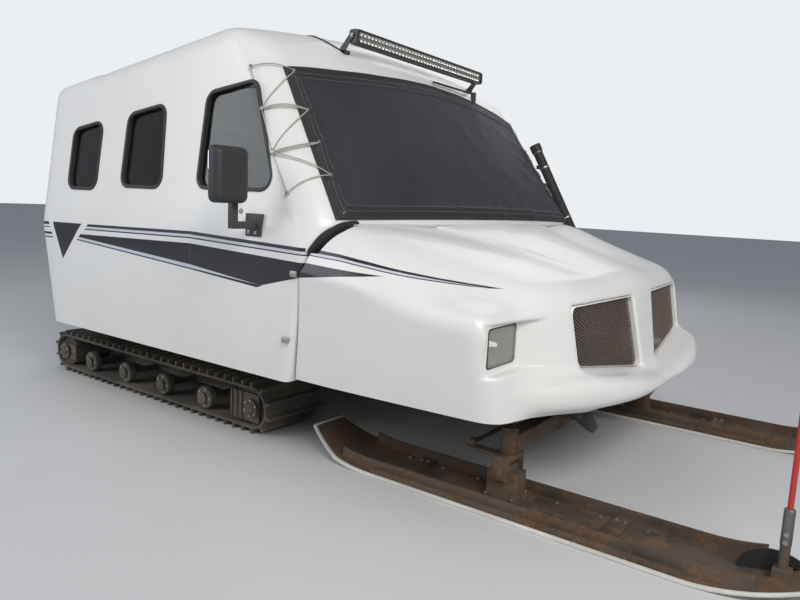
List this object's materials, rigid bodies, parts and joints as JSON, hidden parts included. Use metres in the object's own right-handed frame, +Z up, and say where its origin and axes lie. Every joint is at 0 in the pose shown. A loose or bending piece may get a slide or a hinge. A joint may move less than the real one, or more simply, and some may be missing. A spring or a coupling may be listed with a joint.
{
  "type": "tracked ice fishing vehicle",
  "caption": "Low white moulded cab on two rubber tracks with steerable front skis, a tilting nose, rear door, roof hatch and floor hatches for fishing through the ice.",
  "frame": {"origin": "centre of the overall box on the ground", "axes": "+X forward, +Y to the left, +Z up"},
  "size_m": [4.27, 2.9, 1.926],
  "materials": {
    "cab_moulding": "gloss gel coat, slightly dusty",
    "clip_moulding": "gloss gel coat",
    "cover_vinyl": "matt coated cloth",
    "clear_glass": "tinted, gloss",
    "lamp_glass": "clear, gloss",
    "lamp_body": "fine textured black",
    "grille_mesh": "matt black",
    "black_plastic": "grained",
    "black_steel": "satin black, dusty",
    "rusty_steel": "worn paint with rust",
    "seat_vinyl": "grained vinyl",
    "floor_lid_alloy": "brushed",
    "handle_chrome": "satin",
    "track_rubber": "matt, dusty",
    "wheel_rubber": "matt",
    "ski_plastic": "scuffed white",
    "marker_red": "red"
  },
  "bodies": {
    "root": {"cab_floor": "cab_moulding", "cab_front_frame": "cab_moulding", "cab_rear_wall": "cab_moulding", "cab_roof": "cab_moulding", "cab_side_left": "cab_moulding", "cab_side_right": "cab_moulding", "chassis_cross_members": "black_steel", "chassis_frame": "black_steel", "dashboard": "black_plastic", "engine_block": "black_steel", "front_axle": "rusty_steel", "front_seats": "seat_vinyl", "intake_pipe": "black_plastic", "light_bar": "lamp_body", "light_bar_lens": "lamp_glass", "mirror_arms": "black_steel", "mirror_heads": "black_plastic", "rear_benches": "seat_vinyl", "rear_step": "floor_lid_alloy", "side_glass": "clear_glass", "tow_eyes": "black_steel", "track_frame_left": "black_steel", "track_frame_right": "black_steel", "track_left": "track_rubber", "track_right": "track_rubber", "track_wheels_left": "wheel_rubber", "track_wheels_right": "wheel_rubber", "windscreen_cover": "cover_vinyl", "windscreen_glass": "clear_glass", "wiper": "black_plastic"},
    "front_clip": {"front_clip": "clip_moulding", "grilles": "grille_mesh", "headlight_housings": "lamp_body", "headlight_lenses": "lamp_glass"},
    "rear_door": {"rear_door": "cab_moulding", "rear_door_glass": "clear_glass", "rear_door_handle": "handle_chrome"},
    "roof_hatch": {"roof_hatch_lid": "cab_moulding"},
    "floor_hatch_front": {"floor_hatch_front": "floor_lid_alloy"},
    "floor_hatch_rear": {"floor_hatch_rear": "floor_lid_alloy"},
    "steering_wheel": {"steering_wheel": "black_plastic"},
    "knuckle_left": {"ski_knuckle_left": "rusty_steel"},
    "knuckle_right": {"ski_knuckle_right": "rusty_steel"},
    "ski_left": {"ski_base_left": "ski_plastic", "ski_frame_left": "rusty_steel", "ski_marker_left": "marker_red"},
    "ski_right": {"ski_base_right": "ski_plastic", "ski_frame_right": "rusty_steel", "ski_marker_right": "marker_red"},
    "tie_rod": {"tie_rod": "rusty_steel"}
  },
  "joints": [
    {"name": "clip_tilt", "type": "hinge", "parent": "root", "child": "front_clip", "pos_m": [1.125, 0, 0.24], "axis": [0, 1, 0], "range_deg": [0, 50]},
    {"name": "rear_door_swing", "type": "hinge", "parent": "root", "child": "rear_door", "pos_m": [-1.767, -0.33, 1], "axis": [0, 0, 1], "range_deg": [0, 110]},
    {"name": "roof_hatch_lift", "type": "hinge", "parent": "root", "child": "roof_hatch", "pos_m": [-0.7604, 0, 1.8853], "axis": [0, 1, 0], "range_deg": [0, 80]},
    {"name": "floor_hatch_front_lift", "type": "hinge", "parent": "root", "child": "floor_hatch_front", "pos_m": [-0.525, 0.205, 0.4203], "axis": [-1, 0, 0], "range_deg": [0, 90]},
    {"name": "floor_hatch_rear_lift", "type": "hinge", "parent": "root", "child": "floor_hatch_rear", "pos_m": [-1.205, 0.205, 0.4203], "axis": [-1, 0, 0], "range_deg": [0, 90]},
    {"name": "steering_wheel_turn", "type": "hinge", "parent": "root", "child": "steering_wheel", "pos_m": [-0.205, 0.58, 1.04], "axis": [-0.8829, 0, 0.4695], "range_deg": [-280, 280]},
    {"name": "ski_steer_left", "type": "hinge", "parent": "root", "child": "knuckle_left", "pos_m": [0.945, 0.79, 0.245], "axis": [0, 0, 1], "range_deg": [-28.05, 28.05]},
    {"name": "ski_steer_right", "type": "hinge", "parent": "root", "child": "knuckle_right", "pos_m": [0.945, -0.79, 0.245], "axis": [0, 0, 1], "range_deg": [-28.05, 28.05]},
    {"name": "ski_pitch_left", "type": "hinge", "parent": "knuckle_left", "child": "ski_left", "pos_m": [0.945, 0.79, 0.135], "axis": [0, 1, 0], "range_deg": [-8, 8]},
    {"name": "ski_pitch_right", "type": "hinge", "parent": "knuckle_right", "child": "ski_right", "pos_m": [0.945, -0.79, 0.135], "axis": [0, 1, 0], "range_deg": [-8, 8]},
    {"name": "tie_rod_slide", "type": "slide", "parent": "root", "child": "tie_rod", "axis": [0, 1, 0], "range_m": [-0.0735, 0.0735]}
  ],
  "couplings": [
    {"joint": "ski_steer_left", "follows": "steering_wheel_turn", "ratio": 0.1},
    {"joint": "ski_steer_right", "follows": "steering_wheel_turn", "ratio": 0.1},
    {"joint": "tie_rod_slide", "follows": "steering_wheel_turn", "m_per_rad": -0.015}
  ]
}
